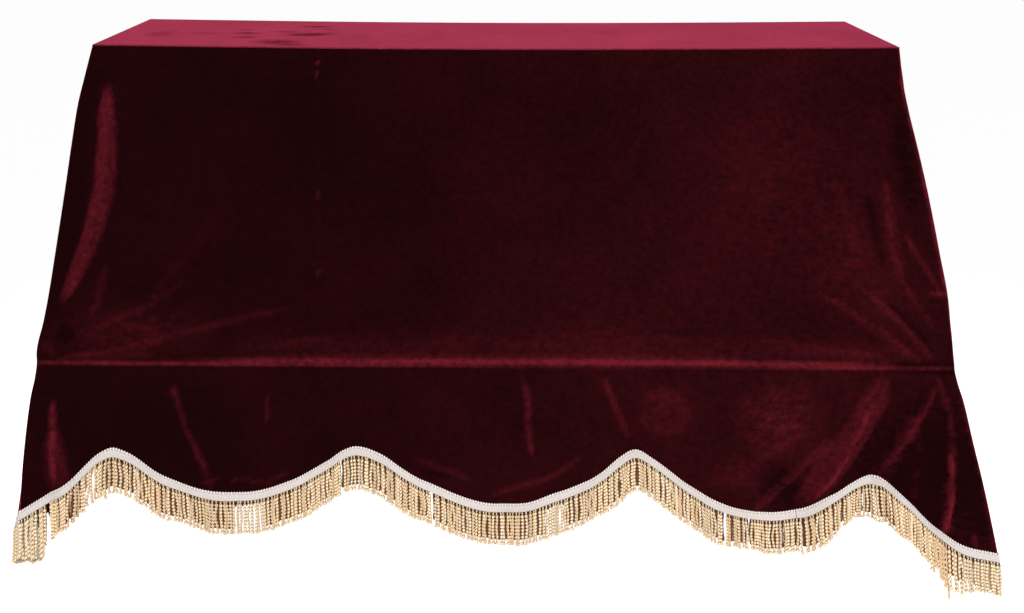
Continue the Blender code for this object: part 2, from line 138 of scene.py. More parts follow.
# ---- small creases in the velvet ----
# The line that it runs along as (round, drop) places, half width, height, keen and shine.
# Keen narrows one flank: below zero the flank on the left of the line's run, above zero the
# right. Shine is how much paler the pile is painted along the line, a painted highlight where
# the crease catches the light; below zero it is painted shade. It dies out over the whole half
# width, or over the share of it that a last number gives.
CREASES = (
    # the slack pleat that hangs from the left end of the top edge
    (((-0.94, 0.055), (-0.922, 0.11), (-0.91, 0.16), (-0.903, 0.22), (-0.91, 0.283),
      (-0.928, 0.336), (-0.952, 0.382), (-0.972, 0.412)), 0.024, 0.011, 0.2, 0.48, 0.5),
    (((-0.898, 0.203), (-0.885, 0.217), (-0.864, 0.23)), 0.006, -0.003, 0.0, -0.12),
    (((-0.878, 0.345), (-0.885, 0.39), (-0.897, 0.435)), 0.013, 0.003, 0.0, 0.12),
    (((-0.635, 0.265), (-0.7, 0.335), (-0.775, 0.405)), 0.022, 0.004, 0.3, 0.04),
    # the fan of creases that the left shelf corner pulls
    (((-0.9, 0.45), (-0.82, 0.424), (-0.743, 0.401)), 0.008, 0.0025, 0.0, 0.15),
    (((-0.78, 0.402), (-0.735, 0.392), (-0.7, 0.372)), 0.009, 0.0015, 0.0, 0.1),
    (((-0.99, 0.484), (-0.915, 0.474), (-0.82, 0.468), (-0.714, 0.452), (-0.599, 0.432),
      (-0.437, 0.408)), 0.009, 0.003, 0.0, 0.15),
    (((-0.86, 0.424), (-0.8, 0.438), (-0.73, 0.446)), 0.008, 0.002, 0.0, 0.09),
    (((-0.96, 0.478), (-0.86, 0.476), (-0.74, 0.474)), 0.008, 0.002, 0.0, 0.15),
    (((-0.47, 0.463), (-0.415, 0.452), (-0.35, 0.451)), 0.005, 0.002, 0.0, 0.12),
    (((-0.999, 0.458), (-0.976, 0.462), (-0.955, 0.474)), 0.012, 0.005, 0.6, 0.16),
    (((-0.965, 0.446), (-0.925, 0.456)), 0.016, -0.004, 0.0, -0.15),
    (((0.86, 0.395), (0.905, 0.425), (0.955, 0.462)), 0.01, -0.003, 0.0, -0.1),
    # the line that packing left
    (((-0.441, 0.015), (-0.418, 0.181), (-0.4, 0.365)), 0.005, 0.001, 0.0, 0.03),
    (((-0.441, 0.018), (-0.439, 0.028)), 0.006, 0.001, 0.0, 0.6),
    (((-0.438, 0.04), (-0.437, 0.047)), 0.006, 0.001, 0.0, 0.4),
    (((-0.412, 0.233), (-0.411, 0.242)), 0.006, 0.001, 0.0, 0.3),
    (((-0.401, 0.352), (-0.4, 0.362)), 0.006, 0.001, 0.0, 0.2),
    # the right end of the sloping front
    (((0.905, 0.205), (0.893, 0.26), (0.893, 0.32), (0.898, 0.372)), 0.026, 0.005, -0.4, 0.18),
    (((0.895, 0.36), (0.925, 0.4), (0.965, 0.44)), 0.012, 0.004, -0.4, 0.14),
    (((0.855, 0.23), (0.858, 0.3), (0.868, 0.35)), 0.018, -0.003, 0.0, -0.12),
    (((0.78, 0.2), (0.8, 0.26), (0.81, 0.33)), 0.022, 0.003, 0.0, 0.1),
    (((0.93, 0.29), (0.955, 0.34), (0.984, 0.392)), 0.009, 0.006, -0.5, 0.34),
    (((0.95, 0.382), (0.985, 0.386), (0.999, 0.386)), 0.007, 0.005, 0.6, 0.45),
    (((0.7, 0.378), (0.8, 0.418), (0.88, 0.456), (0.94, 0.48)), 0.012, 0.004, 0.5, 0.26),
    (((0.81, 0.375), (0.87, 0.415), (0.96, 0.476)), 0.011, 0.004, 0.4, 0.26),
    (((0.55, 0.448), (0.72, 0.462), (0.88, 0.474)), 0.008, 0.0025, 0.0, 0.14),
    (((0.999, -0.05), (0.999, 0.25), (0.999, 0.48)), 0.006, 0.0, 0.0, 0.7, 0.7),
    # the edge of the key shelf, pressed through the cloth
    (((-1.1, 0.485), (-0.937, 0.486), (-0.59, 0.485), (-0.175, 0.482), (0.443, 0.481),
      (0.8, 0.483), (1.15, 0.488)), 0.009, 0.005, -0.5, 0.72, 0.7),
    (((-0.65, 0.481), (-0.3, 0.479), (0.2, 0.478), (0.7, 0.48)), 0.016, 0.0, -0.65, 0.42),
    (((0.85, 0.483), (0.93, 0.484), (1.06, 0.487)), 0.01, 0.0, 0.0, -0.34),
    (((-0.6, 0.462), (-0.3, 0.46), (0.3, 0.46), (0.98, 0.466)), 0.026, 0.0, 0.0, 0.1),
    # the skirt, from left to right
    (((-0.95, 0.545), (-0.942, 0.59), (-0.937, 0.64), (-0.926, 0.705)), 0.013, 0.006, 0.3, 0.6),
    (((-0.938, 0.595), (-0.918, 0.68), (-0.892, 0.79)), 0.034, 0.006, 0.3, 0.21, 0.7),
    (((-0.935, 0.615), (-0.905, 0.665), (-0.868, 0.72)), 0.007, 0.0035, 0.4, 0.2),
    (((-0.7, 0.522), (-0.652, 0.615), (-0.612, 0.69)), 0.011, 0.0045, 0.4, 0.26),
    (((-0.64, 0.63), (-0.62, 0.68), (-0.6, 0.73)), 0.016, 0.002, 0.5, 0.16),
    (((-0.702, 0.526), (-0.69, 0.548)), 0.016, 0.002, 0.0, 0.16),
    (((-0.493, 0.54), (-0.491, 0.595)), 0.006, 0.002, 0.0, 0.18),
    (((-0.63, 0.712), (-0.59, 0.705)), 0.007, 0.002, 0.0, 0.16),
    (((-0.58, 0.722), (-0.545, 0.703), (-0.505, 0.722), (-0.43, 0.69)), 0.007, 0.003, 0.4, 0.18),
    (((-0.18, 0.664), (-0.115, 0.684), (-0.05, 0.712)), 0.008, 0.0025, 0.0, 0.16),
    (((-0.15, 0.694), (-0.095, 0.704)), 0.006, -0.0025, 0.0, -0.1),
    (((0.055, 0.5), (0.069, 0.547), (0.066, 0.603), (0.076, 0.655)), 0.013, 0.005, -0.4, 0.36),
    (((-0.015, 0.745), (0.05, 0.71), (0.112, 0.704), (0.18, 0.657)), 0.014, 0.0035, 0.3, 0.2),
    (((0.234, 0.5), (0.255, 0.558), (0.282, 0.628)), 0.012, 0.004, 0.3, 0.26),
    (((0.312, 0.56), (0.322, 0.538), (0.365, 0.53), (0.4, 0.545), (0.402, 0.585), (0.372, 0.606),
      (0.33, 0.603), (0.312, 0.58), (0.312, 0.56)), 0.02, 0.003, 0.0, 0.09),
    (((0.64, 0.6), (0.56, 0.66), (0.425, 0.727)), 0.024, 0.0035, 0.0, 0.06),
    (((0.72, 0.61), (0.625, 0.69), (0.52, 0.78)), 0.018, 0.005, 0.3, 0.24),
    (((0.7, 0.618), (0.64, 0.665)), 0.006, 0.002, 0.3, 0.16),
    (((0.855, 0.49), (0.814, 0.545), (0.769, 0.6), (0.683, 0.69), (0.612, 0.77)),
     0.034, 0.008, 0.3, 0.29, 0.5),
    (((0.808, 0.538), (0.742, 0.62), (0.69, 0.695), (0.646, 0.75)), 0.008, 0.0035, 0.3, 0.42),
    (((0.962, 0.505), (0.91, 0.56), (0.868, 0.6), (0.79, 0.69)), 0.009, 0.005, 0.3, 0.34),
    (((0.905, 0.56), (0.85, 0.625), (0.77, 0.73)), 0.022, 0.004, 0.3, 0.18, 0.8),
    (((0.885, 0.61), (0.863, 0.676), (0.846, 0.735)), 0.012, 0.0035, 0.0, 0.12),
    (((0.958, 0.49), (0.963, 0.55), (0.953, 0.62), (0.943, 0.7)), 0.013, 0.004, -0.3, 0.26),
    (((0.95, 0.63), (0.939, 0.69), (0.922, 0.75), (0.9, 0.81)), 0.008, 0.0065, -0.3, 0.85),
    (((0.932, 0.69), (0.92, 0.76), (0.905, 0.8)), 0.014, 0.002, 0.0, 0.2),
    (((0.96, 0.79), (0.955, 0.822)), 0.008, 0.003, 0.0, 0.3),
    (((0.999, 0.47), (0.999, 0.62), (0.999, 0.86)), 0.007, 0.0, 0.0, 0.45),
    # the sides: slack folds under the ends of the lid and down the flaring skirt
    (((-1.3, 0.03), (-1.34, 0.24), (-1.22, 0.42)), 0.022, 0.006, 0.4, 0.26),
    (((-1.72, 0.05), (-1.66, 0.3), (-1.7, 0.52)), 0.026, 0.005, 0.0, 0.18),
    (((-1.12, 0.51), (-1.26, 0.64), (-1.32, 0.8)), 0.02, 0.008, 0.3, 0.22),
    (((-1.4, 0.5), (-1.52, 0.64), (-1.62, 0.74)), 0.02, 0.006, 0.0, 0.22),
    (((-1.85, 0.45), (-1.82, 0.64), (-1.86, 0.78)), 0.018, 0.006, 0.0, 0.24),
    (((1.26, 0.03), (1.3, 0.22), (1.18, 0.43)), 0.022, 0.006, -0.4, 0.26),
    (((1.68, 0.04), (1.72, 0.28), (1.66, 0.5)), 0.026, 0.005, 0.0, 0.18),
    (((1.1, 0.51), (1.22, 0.66), (1.28, 0.85)), 0.022, 0.008, 0.3, 0.22),
    (((1.36, 0.5), (1.46, 0.62), (1.58, 0.76)), 0.02, 0.006, 0.0, 0.22),
    (((1.8, 0.42), (1.84, 0.62), (1.8, 0.8)), 0.018, 0.006, 0.0, 0.24),
)
CREASE_ROUND = 0.82  # metres of cloth to one step of round, on the front
CREASE_FALL = 1.20  # metres of cloth to one metre of drop on the sloping front
CREASE_TAPER = 0.45  # how wide a crease is at its ends, as a share
CREASE_FADE = 0.22  # over how much of its length a crease comes and goes
SHINE_FADE = 0.10  # over how much of its length its shine does
CREASE_WANDER = 0.0025  # how far a crease strays from its line
WANDER_FINENESS = 20.0  # and how often
WANDER_OTHER_WAY = Vector((7.0, 3.0, 1.0))  # parts its straying down from that along the hem
SHELF_EDGE = 0.483  # the drop of the shelf's straight edge, where none strays
SHELF_CALM = 0.04  # and how far from it they start to
PAINTED_LIGHT_SWEEP = 0.080  # how much paler the right half is painted than the left: painted light that grows to the right
PALE_START = -0.7  # where in round that starts
PALE_RUN = 1.5  # and over how much of round it comes
PAINTED_LIGHT_FACING_UP = 0.05  # how much paler the pile is painted where the cloth faces the ceiling: painted light from above
PATCH_PALER = 0.12  # how much paler the pile is painted at a strength of 1 in the next table
# places where the hanging pile is painted paler or darker, partly brushed pile and partly painted
# light and shade on its folds and flanks: round, drop, half reach in each, strength, which is
# below zero where shade is painted
PAINTED_LIGHT_AND_BRUSHING = (
    (0.68, 0.22, 0.3, 0.24, 0.35), (0.3, 0.4, 0.4, 0.12, 0.12), (0.6, 0.58, 0.12, 0.11, 1.1),
    (0.5, 0.69, 0.06, 0.05, 0.6), (0.36, 0.57, 0.08, 0.07, 0.5), (-0.8, 0.44, 0.22, 0.05, 0.5),
    (0.8, 0.36, 0.18, 0.12, 0.3), (0.2, 0.44, 0.6, 0.06, 0.1),
    (0.93, 0.68, 0.28, 0.2, -0.75), (-0.99, 0.24, 0.06, 0.26, -0.3),
    (-0.75, 0.62, 0.3, 0.14, -0.2), (0.6, 0.72, 0.07, 0.07, -0.9),
    (0.965, 0.17, 0.04, 0.16, -0.6),
)
# brushed marks on the top: x, y, half length, half width, how dark
TOP_MARKS = (
    (-0.376, 0.089, 0.054, 0.014, 0.95), (-0.352, 0.056, 0.04, 0.01, 0.6),
    (-0.379, -0.021, 0.062, 0.026, 1.25), (-0.35, -0.004, 0.05, 0.018, 0.6),
    (-0.425, 0.014, 0.05, 0.014, 0.55), (-0.419, -0.115, 0.068, 0.046, 0.75),
    (-0.385, -0.145, 0.05, 0.022, 0.5), (-0.5, -0.01, 0.045, 0.022, 0.65),
    (-0.492, -0.06, 0.04, 0.024, 0.55), (-0.51, 0.035, 0.03, 0.016, 0.4),
    (-0.581, -0.019, 0.06, 0.014, 0.4), (-0.664, -0.034, 0.042, 0.06, 0.38),
    (-0.27, -0.04, 0.04, 0.04, 0.16), (-0.12, 0.01, 0.03, 0.08, 0.12),
    (0.23, 0.03, 0.06, 0.05, 0.14), (0.7, -0.04, 0.08, 0.12, 0.16),
)
WAVES = ((0.0012, 7.0), (0.0005, 26.0))  # height and fineness of the cloth's unevenness


# ---- curves through the tables ----
def smooth_curve(keys, values):
    """A function that runs through the values at their keys without overshooting any."""
    count = len(keys)
    rises = [(values[i + 1] - values[i]) / (keys[i + 1] - keys[i]) for i in range(count - 1)]
    slopes = [rises[0]]
    for before, after in zip(rises, rises[1:]):
        level = before * after <= 0.0
        slopes.append(0.0 if level else 2.0 * before * after / (before + after))
    slopes.append(rises[-1])

    def value(key):
        key = min(max(key, keys[0]), keys[-1])
        i = min(bisect.bisect_right(keys, key), count - 1) - 1
        span = keys[i + 1] - keys[i]
        t = (key - keys[i]) / span
        start = (1.0 + 2.0 * t) * (1.0 - t) ** 2 * values[i]
        end = t * t * (3.0 - 2.0 * t) * values[i + 1]
        lean = span * t * (1.0 - t) * ((1.0 - t) * slopes[i] - t * slopes[i + 1])
        return start + end + lean

    return value


def smooth_curves(rows):
    """A curve for each column of a table but the first, which holds the keys."""
    keys, *columns = zip(*rows)
    return [smooth_curve(keys, values) for values in columns]


front_left_x, front_right_x, front_middle_y, front_seam_y = smooth_curves(FRONT_ROWS)
back_left_x, back_right_x = smooth_curves(BACK_ROWS)
braid_drop, = smooth_curves(HEM_ROWS)


def ease(t):
    """Rise from 0 to 1, level at both ends."""
    t = min(max(t, 0.0), 1.0)
    return t * t * (3.0 - 2.0 * t)


def bump(distance):
    """A smooth hill: 1 at no distance and 0 from a distance of 1."""
    return 1.0 - ease(abs(distance))


def edge_height(x):
    """Height of the underside of the top panel, which dips in the middle."""
    return TOP_DIP * (1.0 - math.cos(math.pi * x / TOP_WIDTH))


LEVEL = edge_height(TOP_WIDTH / 2)


def height_at(x, drop):
    """Height of a place on a hanging panel: the dip of the top dies out as it falls."""
    dip = (edge_height(min(abs(x), TOP_WIDTH / 2)) - LEVEL) * (1.0 - ease(drop / SHELF_DROP))
    return LEVEL + dip - GAP - drop


# ---- the relief of the creases ----
def on_cloth(place, drop):
    """A place in metres of cloth, along the hem and down."""
    return Vector((place * CREASE_ROUND, drop * CREASE_FALL))


def crease_line(places):
    """The crease's line with rounded corners."""
    line = [on_cloth(*place) for place in places]
    for _ in range(2):
        cut = [line[0]]
        for a, b in zip(line, line[1:]):
            cut += [a.lerp(b, 0.25), a.lerp(b, 0.75)]
        line = cut + [line[-1]]
    return line


def crease_runs():
    """Every crease with the straight runs of its line, its length and its outermost places."""
    made = []
    for places, half_width, height, keen, shine, *edge in CREASES:
        line = crease_line(places)
        runs = []
        length = 0.0
        for a, b in zip(line, line[1:]):
            span = (b - a).length
            runs.append((a, (b - a) / span, span, length))
            length += span
        low = Vector((min(p.x for p in line) - half_width, min(p.y for p in line) - half_width))
        high = Vector((max(p.x for p in line) + half_width, max(p.y for p in line) + half_width))
        soft = edge[0] if edge else 1.0
        made.append((runs, length, half_width, height, keen, shine, soft, low, high))
    return made


CREASE_RUNS = crease_runs()


def creases_at(place, drop):
    """How far the small creases raise the cloth at a place, and how much painted highlight they
    lay on it, below zero painted shade.
    """
    spot = on_cloth(place, drop)
    stray = Vector((spot.x * WANDER_FINENESS, spot.y * WANDER_FINENESS, 0.0))
    wander = CREASE_WANDER * ease(abs(drop - SHELF_EDGE) / SHELF_CALM)
    spot.x += wander * noise.noise(stray)
    spot.y += wander * noise.noise(stray + WANDER_OTHER_WAY)
    raised = shining = 0.0
    for runs, length, half_width, height, keen, shine, soft, low, high in CREASE_RUNS:
        if not (low.x < spot.x < high.x and low.y < spot.y < high.y):
            continue
        nearest = half_width
        along = side = 0.0
        for start, run, span, before in runs:
            reach = spot - start
            t = min(max(reach.dot(run), 0.0), span)
            distance = (reach - run * t).length
            if distance < nearest:
                nearest = distance
                along = before + t
                side = run.x * reach.y - run.y * reach.x
        run_in = CREASE_FADE * length
        fade = ease(along / run_in) * ease((length - along) / run_in)
        flank = half_width * (1.0 - abs(keen) if side * keen < 0.0 else 1.0)
        flank *= CREASE_TAPER + (1.0 - CREASE_TAPER) * fade
        hill = bump(nearest / flank) * fade
        raised += height * hill
        run_in = SHINE_FADE * length
        lit = ease((1.0 - nearest / flank) / soft)
        lit *= ease(along / run_in) * ease((length - along) / run_in)
        shining += shine * lit
    return raised, shining


def waves(point):
    """The cloth's own slight unevenness."""
    return sum(height * noise.noise(point * fineness) for height, fineness in WAVES)


# ---- places on the hanging cloth ----
STEP = 0.004  # how far off the neighbours are that tell which way the cloth faces
EDGE_FADE = 0.03  # over how much drop the unevenness starts below the upper edge
CREASE_EDGE = 0.008  # over how much of round it and the creases start at a front seam
SIDE_EDGE = 0.02  # the same at the seams of the sides and the back
FOLD_START = 0.35  # over how much of its length a fold of the skirt comes
FOLD_END = 1.6  # where it has gone, in its lengths
FOLD_FADE = 0.6  # over how much of its length it goes, and one of the slope comes and goes
BULGE_FRONT = 0.06  # over how much of round a side's bulges start at its front seam
BULGE_BACK = 0.10  # and at its back seam
BACK_SLACK = 0.004  # how far the back's soft folds stand out
BACK_SLACK_DROP = 0.25  # over how much drop they start


def fold_height(place, drop):
    """How far the front stands out at a place, from its soft folds."""
    total = 0.0
    for top, top_drop, foot, foot_drop, width, out in FRONT_FOLDS:
        along = (drop - top_drop) / (foot_drop - top_drop)
        centre = top + (foot - top) * along
        if abs(place - centre) >= width:
            continue
        fade = ease(along / FOLD_START) * ease((FOLD_END - along) / FOLD_FADE)
        if top_drop < SHELF_DROP:
            fade = bump((along - 0.5) / FOLD_FADE)
        total += out * fade * bump((place - centre) / width)
    return total * ease((1.0 - abs(place)) / SEAM_FADE)


def front_point(place, drop):
    """A place on the outer face of the front panel."""
    seam_x = front_right_x(drop) if place > 0.0 else front_left_x(drop)
    swing = ease((abs(place) - CORNER_START) / (1.0 - CORNER_START))
    middle_y = front_middle_y(drop)
    y = middle_y + swing * (front_seam_y(drop) - middle_y)
    x = place * seam_x
    tilt = SHELF_TILT * place * ease(drop / SHELF_DROP)
    run = front_middle_y(drop + STEP) - front_middle_y(max(drop - STEP, 0.0))
    fall = STEP + min(STEP, drop)
    outward = Vector((0.0, -fall, -run)).normalized()
    point = Vector((x, y, height_at(x, drop) - tilt))
    relief = creases_at(place, drop)[0] + waves(point) * ease(drop / EDGE_FADE)
    still = ease((1.0 - abs(place)) / CREASE_EDGE)
    return point + outward * (fold_height(place, drop) + relief * still)


def side_point(side, back, drop):
    """A place on the outer face of a side panel; back is 1 at the front seam, 2 at the back."""
    front = front_point(float(side), drop)
    rear_x = back_right_x(drop) if side > 0 else back_left_x(drop)
    lean = BACK_LEAN * drop / BACK_ROWS[-1][0]
    rear = Vector((side * rear_x, TOP_DEPTH / 2 + lean, height_at(rear_x, drop)))
    point = front.lerp(rear, back - 1.0)
    for fold_side, centre, centre_drop, half_round, half_drop, out in SIDE_FOLDS:
        if fold_side == side:
            hill = bump((back - centre) / half_round) * bump((drop - centre_drop) / half_drop)
            ends = ease((back - 1.0) / BULGE_FRONT) * ease((2.0 - back) / BULGE_BACK)
            point.x += side * out * hill * ends
    still = ease((back - 1.0) / SIDE_EDGE) * ease((2.0 - back) / SIDE_EDGE)
    still *= ease(drop / EDGE_FADE)
    point.x += side * still * (creases_at(side * back, drop)[0] + waves(point))
    return point


def back_point(place, drop):
    """A place on the outer face of the plain back panel, from -1 at its left to 1."""
    left = side_point(-1, 2.0, drop)
    right = side_point(1, 2.0, drop)
    point = left.lerp(right, (place + 1.0) / 2.0)
    point.z = height_at(point.x, drop)
    slack = BACK_SLACK * ease(drop / BACK_SLACK_DROP) * bump(place)
    slack *= math.sin(9.0 * place + 1.5 * drop)
    still = ease((1.0 - abs(place)) / SIDE_EDGE)
    point.y += slack + waves(point) * ease(drop / EDGE_FADE) * still
    return point


def cover_point(place, drop):
    """A place on the outer face of the front or a side, anywhere round the trimmed hem."""
    if abs(place) <= 1.0:
        return front_point(place, drop)
    return side_point(1 if place > 0.0 else -1, abs(place), drop)


def outward_at(place, drop):
    """The way the cloth faces at a place on the front or a side."""
    before = cover_point(max(place - STEP, -2.0), drop)
    after = cover_point(min(place + STEP, 2.0), drop)
    above = cover_point(place, drop - STEP)
    below = cover_point(place, drop + STEP)
    return (below - above).cross(after - before).normalized()


# ---- finishes ----
WAVE_OF_ONE = 0.2 * math.pi  # the scale of a diagonal wave texture with one wave to a unit
BRAID_WHITE = (0.55, 0.505, 0.485, 1.0)
BRAID_GRIME = (0.50, 0.455, 0.42, 1.0)
RIB_SHADE = (0.36, 0.24, 0.19, 1.0)
SLUB_SHADE = (0.36, 0.25, 0.20, 1.0)
PICOT_WHITE = (0.86, 0.81, 0.76, 1.0)
STITCH_SHADE = (0.16, 0.05, 0.05, 1.0)
CORD_CREAM = (0.95, 0.69, 0.41, 1.0)
CORD_PALE = (0.95, 0.77, 0.54, 1.0)
FIBRE_SHADE = (0.60, 0.36, 0.17, 1.0)
PLY_SHADE = (0.27, 0.10, 0.025, 1.0)
DUSK_SHADE = (0.105, 0.032, 0.007, 1.0)
DARKEST_SHADE = (0.034, 0.011, 0.004, 1.0)


class Finish:
    """A cloth finish: a shader, and short ways to add and join its nodes."""

    def __init__(self, name, roughness, gloss, sheen, sheen_roughness, sheen_tint):
        self.material = bpy.data.materials.new(name)
        self.material.use_nodes = True
        self.tree = self.material.node_tree
        self.shader = self.tree.nodes["Principled BSDF"]
        self.shader.inputs["Roughness"].default_value = roughness
        self.shader.inputs["Specular IOR Level"].default_value = gloss
        self.shader.inputs["Sheen Weight"].default_value = sheen
        self.shader.inputs["Sheen Roughness"].default_value = sheen_roughness
        self.shader.inputs["Sheen Tint"].default_value = (*sheen_tint, 1.0)
        self.place = self.tree.nodes.new("ShaderNodeTexCoord")

    def node(self, kind, inputs=None, **settings):
        made = self.tree.nodes.new(kind)
        for key, value in settings.items():
            setattr(made, key, value)
        for key, value in (inputs or {}).items():
            if isinstance(value, bpy.types.NodeSocket):
                self.tree.links.new(value, made.inputs[key])
            else:
                made.inputs[key].default_value = value
        return made

    def stretched(self, source, scale):
        return self.node("ShaderNodeMapping", {"Vector": source, "Scale": scale}).outputs[0]

    def clouds(self, source, scale, detail=3.0, roughness=0.55):
        inputs = {"Vector": source, "Scale": scale, "Detail": detail, "Roughness": roughness}
        return self.node("ShaderNodeTexNoise", inputs).outputs["Fac"]

    def between(self, value, low, high, to_low=0.0, to_high=1.0):
        """The value with low to high stretched over to_low to to_high."""
        inputs = {"Value": value, "From Min": low, "From Max": high,
                  "To Min": to_low, "To Max": to_high}
        return self.node("ShaderNodeMapRange", inputs).outputs[0]

    def sum(self, first, second):
        return self.node("ShaderNodeMath", {0: first, 1: second}).outputs[0]

    def product(self, first, second):
        return self.node("ShaderNodeMath", {0: first, 1: second}, operation="MULTIPLY").outputs[0]

    def blend(self, share, first, second):
        """The first colour at a share of 0 and the second at 1."""
        inputs = {0: share, 6: first, 7: second}
        return self.node("ShaderNodeMix", inputs, data_type="RGBA").outputs[2]

    def relief(self, height, depth, strength, under=None):
        inputs = {"Height": height, "Distance": depth, "Strength": strength}
        if under is not None:
            inputs["Normal"] = under
        return self.node("ShaderNodeBump", inputs).outputs["Normal"]

    def mark(self, name):
        """What a piece's corners hold under this name."""
        return self.node("ShaderNodeAttribute", attribute_name=name).outputs["Fac"]

    def colour(self, socket):
        self.tree.links.new(socket, self.shader.inputs["Base Color"])

    def facing(self, socket):
        self.tree.links.new(socket, self.shader.inputs["Normal"])


def velvet_finish(name, deep, painted_light_and_wear, base_paleness, mottle, sheen, sheen_roughness, sheen_tint):
    """Crushed pile: deep where it stands, paler where it is brushed or worn, and paler or darker
    where light and shade are painted into it.
    """
    velvet = Finish(name, 0.9, 0.0, sheen, sheen_roughness, sheen_tint)
    spot = velvet.place.outputs["Object"]
    crushed = velvet.clouds(spot, 90.0, 5.0, 0.65)
    strokes = velvet.clouds(velvet.stretched(spot, (45.0, 90.0, 80.0)), 1.0, 5.0, 0.7)
    broad = velvet.clouds(spot, 5.0, 3.0, 0.6)
    pile = velvet.clouds(spot, 700.0, 2.0, 0.6)
    mottled = velvet.sum(velvet.between(crushed, 0.35, 0.75, -0.018 * mottle, 0.03 * mottle),
                         velvet.between(broad, 0.3, 0.7, -0.02 * mottle, 0.03 * mottle))
    stroked = velvet.product(velvet.between(strokes, 0.46, 0.80, 0.0, 0.6),
                             velvet.mark("brushing_and_painted_light"))
    patchy = velvet.product(velvet.between(crushed, 0.3, 0.7, 0.45, 1.5),
                            velvet.between(broad, 0.35, 0.65, 0.75, 1.2))
    # the paler share from the pile's wear and from the painted light and shade of creases, slopes
    # and patches, made patchy
    painted_light_and_wear_part = velvet.product(velvet.mark("painted_light_and_wear"), patchy)
    share = velvet.sum(velvet.sum(mottled, stroked), painted_light_and_wear_part)
    share = velvet.sum(share, base_paleness)
    share = velvet.product(share, velvet.between(pile, 0.3, 0.8, 0.75, 1.25))
    velvet.colour(velvet.blend(share, (*deep, 1.0), (*painted_light_and_wear, 1.0)))
    dents = velvet.relief(crushed, 0.0015, 0.5)
    velvet.facing(velvet.relief(pile, 0.0006, 0.5, dents))
    return velvet.material


def braid_finish():
    """Woven pinkish white braid: a ribbed band with a dotted row of stitches."""
    braid = Finish("woven_braid", 0.8, 0.2, 0.25, 0.4, (1.0, 0.95, 0.92))
    along = braid.place.outputs["UV"]
    ribs = braid.node("ShaderNodeTexWave", {"Vector": along, "Scale": 1.1, "Distortion": 0.5},
                      bands_direction="X").outputs["Fac"]
    slubs = braid.clouds(braid.stretched(along, (9.0, 60.0, 1.0)), 1.0, 3.0)
    grime = braid.clouds(braid.place.outputs["Object"], 9.0, 3.0)
    thread = braid.blend(braid.between(grime, 0.35, 0.7), BRAID_WHITE, BRAID_GRIME)
    thread = braid.blend(braid.between(ribs, 0.0, 0.5, 0.18, 0.0), thread, RIB_SHADE)
    thread = braid.blend(braid.between(slubs, 0.45, 0.7, 0.0, 0.22), thread, SLUB_SHADE)
    thread = braid.blend(braid.between(braid.mark("stitch"), 0.0, -1.0), thread, PICOT_WHITE)
    braid.colour(braid.blend(braid.mark("stitch"), thread, STITCH_SHADE))
    woven = braid.relief(ribs, 0.0005, 0.6)
    braid.facing(braid.relief(slubs, 0.0004, 0.5, woven))
    return braid.material


def cord_finish():
    """Twisted cream cord, with painted shade in red brown where its plies meet and between the
    cords.
    """
    cord = Finish("twisted_cord", 0.7, 0.25, 0.2, 0.4, (1.0, 0.88, 0.70))
    along = cord.place.outputs["UV"]
    twist = cord.node("ShaderNodeTexWave", {"Vector": along, "Scale": WAVE_OF_ONE},
                      bands_direction="DIAGONAL").outputs["Fac"]
    fibres = cord.clouds(cord.stretched(along, (14.0, 2.0, 1.0)), 1.0, 3.0)
    cream = cord.blend(cord.mark("pale"), CORD_CREAM, CORD_PALE)
    cream = cord.blend(cord.between(fibres, 0.4, 0.8, 0.0, 0.18), cream, FIBRE_SHADE)
    cream = cord.blend(cord.between(twist, 0.0, 0.40, 0.48, 0.0), cream, PLY_SHADE)
    # painted shade: between the cords, in the waists of the beads and on the dark row behind
    painted_shade = cord.mark("painted_shade")
    cream = cord.blend(cord.between(painted_shade, 0.0, 0.55), cream, DUSK_SHADE)
    cord.colour(cord.blend(cord.between(painted_shade, 0.55, 1.0), cream, DARKEST_SHADE))
    bead = cord.relief(twist, 0.0014, 0.9)
    cord.facing(cord.relief(fibres, 0.0004, 0.5, bead))
    return cord.material


# ---- from worked shape to piece ----
def mesh_of(work, name):
    mesh = bpy.data.meshes.new(name)
    work.to_mesh(mesh)
    work.free()
    return mesh


def piece_of(work, name, finish):
    """The worked shape as a smooth piece in its finish."""
    mesh = mesh_of(work, name)
    mesh.shade_smooth()
    mesh.materials.append(finish)
    piece = bpy.data.objects.new(name, mesh)
    bpy.context.scene.collection.objects.link(piece)
    return piece


def numbered_grid(work, across, down):
    """A flat grid's corners, each with its column and with its row from the top."""
    bmesh.ops.create_grid(work, x_segments=across, y_segments=down, size=0.5)
    return [(corner, round((corner.co.x + 0.5) * across), round((0.5 - corner.co.y) * down))
            for corner in work.verts]


# ---- the velvet panels ----
THINNER = 0.0002  # how much thinner the velvet is than its solid


def steps(stops, widest):
    """Numbers through the stops, evenly spaced and no more than widest apart between them."""
    made = [stops[0]]
    for start, end in zip(stops, stops[1:]):
        count = max(1, math.ceil((end - start) / widest - 1e-6))
        made += [start + (end - start) * (i + 1) / count for i in range(count)]
    return made


